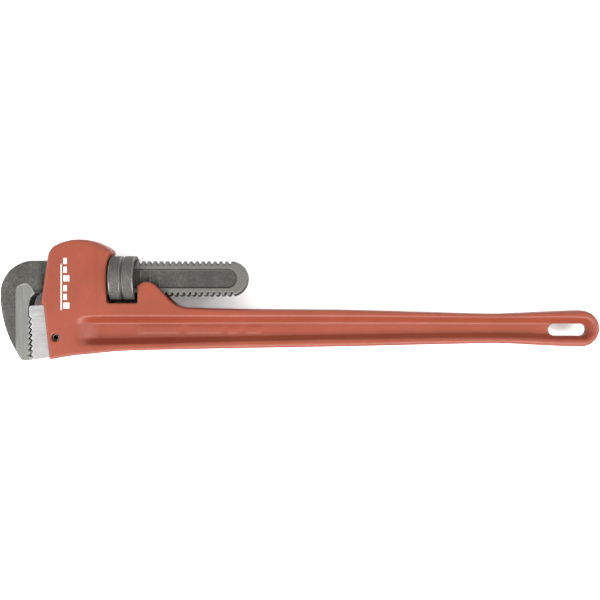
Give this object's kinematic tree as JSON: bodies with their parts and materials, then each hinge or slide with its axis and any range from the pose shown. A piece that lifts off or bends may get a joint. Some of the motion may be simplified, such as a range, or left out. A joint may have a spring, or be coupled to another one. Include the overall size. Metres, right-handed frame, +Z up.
{
  "type": "pipe wrench",
  "caption": "Straight pipe wrench: a cast I-beam handle with a pinned heel jaw, and a hook jaw on a threaded shank moved by a knurled nut.",
  "frame": {"origin": "on the surface that the adjusting nut touches, under the middle of the closed wrench's outline", "axes": "+X along the handle from the hook jaw to the hang slot, +Y from the jaws' opening to the screw, +Z up through the wrench's thickness"},
  "size_m": [0.6, 0.1216, 0.0464],
  "materials": {
    "enamelled_casting": "satin orange-red enamel over a sand casting",
    "forged_steel": "dark phosphated forging with ground flanks at the teeth",
    "knurled_steel": "dark phosphated steel with a diamond knurl",
    "ground_steel": "bright ground tool steel",
    "spring_steel": "oiled spring steel"
  },
  "bodies": {
    "handle": {"handle_housing": "enamelled_casting", "heel_jaw": "ground_steel", "heel_jaw_pin": "spring_steel", "coil_spring": "spring_steel"},
    "spring_carrier": {"flat_spring": "spring_steel", "spring_rivet": "spring_steel"},
    "hook": {"hook_jaw": "forged_steel"},
    "nut": {"adjusting_nut": "knurled_steel"}
  },
  "joints": [
    {"name": "hook_rock", "type": "hinge", "parent": "handle", "child": "spring_carrier", "pos_m": [-0.206, 0.0413, 0.0232], "axis": [0, 0, -1], "range_deg": [0, 3], "stiffness_Nm_per_rad": 30},
    {"name": "nut_spin", "type": "hinge", "parent": "spring_carrier", "child": "nut", "pos_m": [-0.1771, 0.0213, 0.0232], "axis": [1, 0, 0], "range_deg": [0, 5400]},
    {"name": "hook_slide", "type": "slide", "parent": "spring_carrier", "child": "hook", "axis": [-1, 0, 0], "range_m": [0, 0.09]}
  ],
  "couplings": [
    {"joint": "nut_spin", "follows": "hook_slide", "rad_per_m": 1047.2}
  ]
}
